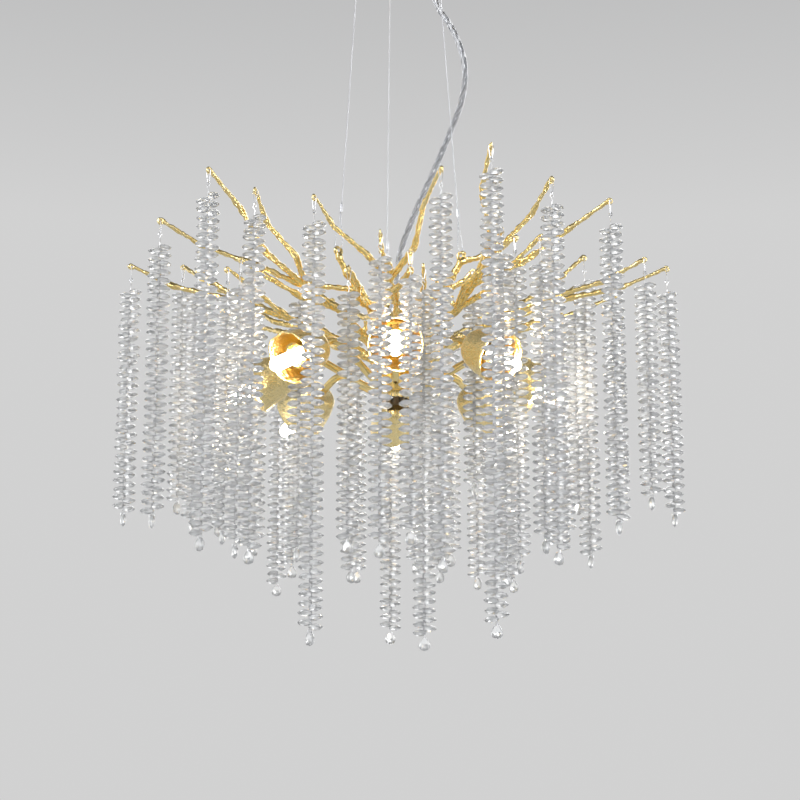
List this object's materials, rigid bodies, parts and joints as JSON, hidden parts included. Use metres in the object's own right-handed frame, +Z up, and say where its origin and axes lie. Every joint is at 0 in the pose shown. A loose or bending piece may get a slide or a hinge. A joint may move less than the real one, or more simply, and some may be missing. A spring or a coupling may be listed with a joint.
{
  "type": "crystal chandelier",
  "caption": "Round chandelier on thin wires: a gold twig crown with tilted capsule lamps in small bowls, and long strands of drilled clear pear beads that each swing from a ring",
  "frame": {"origin": "middle of the bracket's top face, which meets the ceiling", "axes": "+Z up, -Y to the front seen in the picture, +X to its right"},
  "size_m": [0.5953, 0.5285, 0.857],
  "materials": {
    "polished_gold": "polished gold plate",
    "twig_gold": "cast twig texture, gold plated",
    "hammered_gold": "hammered gold plate",
    "crystal": "clear faceted crystal on silver wire",
    "steel": "plain steel",
    "zinc_steel": "zinc plated steel sheet",
    "clear_cord": "clear jacket over silvered strands",
    "dark_metal": "dark bronze",
    "ceramic": "glazed ceramic",
    "bulb_glass": "clear capsule, lit warm white"
  },
  "bodies": {
    "frame": {"canopy_bracket": "zinc_steel", "ceiling_canopy": "polished_gold", "canopy_studs": "polished_gold", "cable_grips": "steel", "cord_glands": "steel", "suspension_cables": "steel", "cable_ferrules": "steel", "power_cord": "clear_cord", "hub_column": "polished_gold", "hub_nut": "dark_metal", "upright_stems": "twig_gold", "front_boughs": "twig_gold", "right_boughs": "twig_gold", "back_boughs": "twig_gold", "left_boughs": "twig_gold", "lamp_arms": "polished_gold", "lamp_shades": "hammered_gold", "lamp_sleeves": "polished_gold", "lamp_holders": "ceramic", "lamp_bulbs": "bulb_glass"},
    "bead_strand_01": {"bead_strand_01": "crystal"},
    "bead_strand_02": {"bead_strand_02": "crystal"},
    "bead_strand_03": {"bead_strand_03": "crystal"},
    "bead_strand_04": {"bead_strand_04": "crystal"},
    "bead_strand_05": {"bead_strand_05": "crystal"},
    "bead_strand_06": {"bead_strand_06": "crystal"},
    "bead_strand_07": {"bead_strand_07": "crystal"},
    "bead_strand_08": {"bead_strand_08": "crystal"},
    "bead_strand_09": {"bead_strand_09": "crystal"},
    "bead_strand_10": {"bead_strand_10": "crystal"},
    "bead_strand_11": {"bead_strand_11": "crystal"},
    "bead_strand_12": {"bead_strand_12": "crystal"},
    "bead_strand_13": {"bead_strand_13": "crystal"},
    "bead_strand_14": {"bead_strand_14": "crystal"},
    "bead_strand_15": {"bead_strand_15": "crystal"},
    "bead_strand_16": {"bead_strand_16": "crystal"},
    "bead_strand_17": {"bead_strand_17": "crystal"},
    "bead_strand_18": {"bead_strand_18": "crystal"},
    "bead_strand_19": {"bead_strand_19": "crystal"},
    "bead_strand_20": {"bead_strand_20": "crystal"},
    "bead_strand_21": {"bead_strand_21": "crystal"},
    "bead_strand_22": {"bead_strand_22": "crystal"},
    "bead_strand_23": {"bead_strand_23": "crystal"},
    "bead_strand_24": {"bead_strand_24": "crystal"},
    "bead_strand_25": {"bead_strand_25": "crystal"},
    "bead_strand_26": {"bead_strand_26": "crystal"},
    "bead_strand_27": {"bead_strand_27": "crystal"},
    "bead_strand_28": {"bead_strand_28": "crystal"},
    "bead_strand_29": {"bead_strand_29": "crystal"},
    "bead_strand_30": {"bead_strand_30": "crystal"},
    "bead_strand_31": {"bead_strand_31": "crystal"},
    "bead_strand_32": {"bead_strand_32": "crystal"},
    "bead_strand_33": {"bead_strand_33": "crystal"},
    "bead_strand_34": {"bead_strand_34": "crystal"},
    "bead_strand_35": {"bead_strand_35": "crystal"},
    "bead_strand_36": {"bead_strand_36": "crystal"},
    "bead_strand_37": {"bead_strand_37": "crystal"},
    "bead_strand_38": {"bead_strand_38": "crystal"},
    "bead_strand_39": {"bead_strand_39": "crystal"},
    "bead_strand_40": {"bead_strand_40": "crystal"}
  },
  "joints": [
    {"name": "swing_01", "type": "hinge", "parent": "frame", "child": "bead_strand_01", "pos_m": [-0.281, 0, -0.40785], "axis": [-0.112, 0.9937, 0], "range_deg": [-10, 30]},
    {"name": "swing_02", "type": "hinge", "parent": "frame", "child": "bead_strand_02", "pos_m": [-0.23329, 0.07806, -0.37985], "axis": [0.6104, 0.7921, 0], "range_deg": [-13, 30]},
    {"name": "swing_03", "type": "hinge", "parent": "frame", "child": "bead_strand_03", "pos_m": [-0.21183, 0.02227, -0.40385], "axis": [0.126, 0.992, 0], "range_deg": [-10, 30]},
    {"name": "swing_04", "type": "hinge", "parent": "frame", "child": "bead_strand_04", "pos_m": [-0.17384, -0.06327, -0.43385], "axis": [-0.4742, 0.8804, 0], "range_deg": [-11, 11.5]},
    {"name": "swing_05", "type": "hinge", "parent": "frame", "child": "bead_strand_05", "pos_m": [-0.14967, 0.062, -0.43785], "axis": [0.7587, 0.6515, 0], "range_deg": [-16, 30]},
    {"name": "swing_06", "type": "hinge", "parent": "frame", "child": "bead_strand_06", "pos_m": [-0.24017, -0.11199, -0.39885], "axis": [-0.2683, 0.9633, 0], "range_deg": [-19, 30]},
    {"name": "swing_07", "type": "hinge", "parent": "frame", "child": "bead_strand_07", "pos_m": [-0.18379, -0.21519, -0.38485], "axis": [-0.7684, 0.6399, 0], "range_deg": [-4.5, 30]},
    {"name": "swing_08", "type": "hinge", "parent": "frame", "child": "bead_strand_08", "pos_m": [-0.13962, -0.18528, -0.39485], "axis": [-0.9422, 0.335, 0], "range_deg": [-10.5, 30]},
    {"name": "swing_09", "type": "hinge", "parent": "frame", "child": "bead_strand_09", "pos_m": [-0.15733, -0.11856, -0.44385], "axis": [-0.4218, 0.9067, 0], "range_deg": [-9.5, 30]},
    {"name": "swing_10", "type": "hinge", "parent": "frame", "child": "bead_strand_10", "pos_m": [-0.08049, -0.18962, -0.40385], "axis": [-0.7355, 0.6775, 0], "range_deg": [-11.5, 30]},
    {"name": "swing_11", "type": "hinge", "parent": "frame", "child": "bead_strand_11", "pos_m": [-0.01487, -0.20245, -0.44585], "axis": [-0.9994, 0.0335, 0], "range_deg": [-5.5, 30]},
    {"name": "swing_12", "type": "hinge", "parent": "frame", "child": "bead_strand_12", "pos_m": [0.01472, -0.20046, -0.46385], "axis": [-0.9999, -0.0153, 0], "range_deg": [-5.5, 30]},
    {"name": "swing_13", "type": "hinge", "parent": "frame", "child": "bead_strand_13", "pos_m": [0.0441, -0.23795, -0.39385], "axis": [-0.8797, -0.4756, 0], "range_deg": [-3.5, 30]},
    {"name": "swing_14", "type": "hinge", "parent": "frame", "child": "bead_strand_14", "pos_m": [0.09355, -0.23507, -0.36685], "axis": [-0.9785, -0.2065, 0], "range_deg": [-17, 30]},
    {"name": "swing_15", "type": "hinge", "parent": "frame", "child": "bead_strand_15", "pos_m": [0.10585, -0.16615, -0.42985], "axis": [-0.9548, -0.2973, 0], "range_deg": [-14, 30]},
    {"name": "swing_16", "type": "hinge", "parent": "frame", "child": "bead_strand_16", "pos_m": [0.14627, -0.1364, -0.42585], "axis": [-0.6282, -0.7781, 0], "range_deg": [-1.5, 30]},
    {"name": "swing_17", "type": "hinge", "parent": "frame", "child": "bead_strand_17", "pos_m": [0.15395, -0.20579, -0.39185], "axis": [-0.8682, -0.4962, 0], "range_deg": [-6.5, 30]},
    {"name": "swing_18", "type": "hinge", "parent": "frame", "child": "bead_strand_18", "pos_m": [0.21601, -0.15522, -0.39385], "axis": [-0.3555, -0.9347, 0], "range_deg": [-7.5, 30]},
    {"name": "swing_19", "type": "hinge", "parent": "frame", "child": "bead_strand_19", "pos_m": [0.26075, -0.0413, -0.41485], "axis": [-0.3155, -0.9489, 0], "range_deg": [-27.5, 30]},
    {"name": "swing_20", "type": "hinge", "parent": "frame", "child": "bead_strand_20", "pos_m": [0.28975, 0.01214, -0.40585], "axis": [0.0277, -0.9996, 0], "range_deg": [-12.5, 30]},
    {"name": "swing_21", "type": "hinge", "parent": "frame", "child": "bead_strand_21", "pos_m": [0.20223, 0.01769, -0.39185], "axis": [0.0406, -0.9992, 0], "range_deg": [-5, 8.5]},
    {"name": "swing_22", "type": "hinge", "parent": "frame", "child": "bead_strand_22", "pos_m": [0.19413, 0.05935, -0.41185], "axis": [0.5088, -0.8609, 0], "range_deg": [-17, 30]},
    {"name": "swing_23", "type": "hinge", "parent": "frame", "child": "bead_strand_23", "pos_m": [0.24267, 0.11836, -0.39985], "axis": [0.1891, -0.982, 0], "range_deg": [-27, 30]},
    {"name": "swing_24", "type": "hinge", "parent": "frame", "child": "bead_strand_24", "pos_m": [0.18964, 0.19638, -0.39585], "axis": [0.8181, -0.5751, 0], "range_deg": [-14.5, 30]},
    {"name": "swing_25", "type": "hinge", "parent": "frame", "child": "bead_strand_25", "pos_m": [0.12856, 0.15321, -0.42185], "axis": [0.8393, -0.5437, 0], "range_deg": [-4, 30]},
    {"name": "swing_26", "type": "hinge", "parent": "frame", "child": "bead_strand_26", "pos_m": [0.09307, 0.25025, -0.38785], "axis": [0.7517, -0.6595, 0], "range_deg": [-12.5, 30]},
    {"name": "swing_27", "type": "hinge", "parent": "frame", "child": "bead_strand_27", "pos_m": [0.02379, 0.27196, -0.39785], "axis": [0.9226, -0.3857, 0], "range_deg": [-10, 30]},
    {"name": "swing_28", "type": "hinge", "parent": "frame", "child": "bead_strand_28", "pos_m": [-0.04436, 0.26227, -0.39085], "axis": [0.9345, 0.3559, 0], "range_deg": [-9, 30]},
    {"name": "swing_29", "type": "hinge", "parent": "frame", "child": "bead_strand_29", "pos_m": [-0.00567, 0.20292, -0.39385], "axis": [0.9998, 0.0174, 0], "range_deg": [-2, 27.5]},
    {"name": "swing_30", "type": "hinge", "parent": "frame", "child": "bead_strand_30", "pos_m": [0.06088, 0.17681, -0.41385], "axis": [0.8894, -0.4572, 0], "range_deg": [-8, 11]},
    {"name": "swing_31", "type": "hinge", "parent": "frame", "child": "bead_strand_31", "pos_m": [-0.13427, 0.25252, -0.39485], "axis": [0.9804, 0.1968, 0], "range_deg": [-11, 30]},
    {"name": "swing_32", "type": "hinge", "parent": "frame", "child": "bead_strand_32", "pos_m": [-0.19673, 0.18346, -0.39585], "axis": [0.5589, 0.8292, 0], "range_deg": [-22, 30]},
    {"name": "swing_33", "type": "hinge", "parent": "frame", "child": "bead_strand_33", "pos_m": [-0.11352, 0.1683, -0.41985], "axis": [0.9372, 0.3489, 0], "range_deg": [-15, 12.5]},
    {"name": "swing_34", "type": "hinge", "parent": "frame", "child": "bead_strand_34", "pos_m": [-0.09978, -0.04133, -0.43385], "axis": [-0.2943, 0.9557, 0], "range_deg": [-15.5, 10]},
    {"name": "swing_35", "type": "hinge", "parent": "frame", "child": "bead_strand_35", "pos_m": [-0.0472, -0.11682, -0.45185], "axis": [-0.9503, 0.3113, 0], "range_deg": [-15.5, 10.5]},
    {"name": "swing_36", "type": "hinge", "parent": "frame", "child": "bead_strand_36", "pos_m": [0.02859, -0.07257, -0.43385], "axis": [-0.9976, 0.0695, 0], "range_deg": [-8, 16]},
    {"name": "swing_37", "type": "hinge", "parent": "frame", "child": "bead_strand_37", "pos_m": [0.0813, -0.03368, -0.42585], "axis": [-0.3738, -0.9275, 0], "range_deg": [-8.5, 5.5]},
    {"name": "swing_38", "type": "hinge", "parent": "frame", "child": "bead_strand_38", "pos_m": [0.12466, -0.05681, -0.39685], "axis": [-0.4425, -0.8968, 0], "range_deg": [-4.5, 30]},
    {"name": "swing_39", "type": "hinge", "parent": "frame", "child": "bead_strand_39", "pos_m": [0.04784, 0.11549, -0.41985], "axis": [0.7393, -0.6734, 0], "range_deg": [-10.5, 30]},
    {"name": "swing_40", "type": "hinge", "parent": "frame", "child": "bead_strand_40", "pos_m": [-0.04784, 0.11549, -0.41985], "axis": [0.8084, 0.5887, 0], "range_deg": [-10.5, 13]}
  ]
}
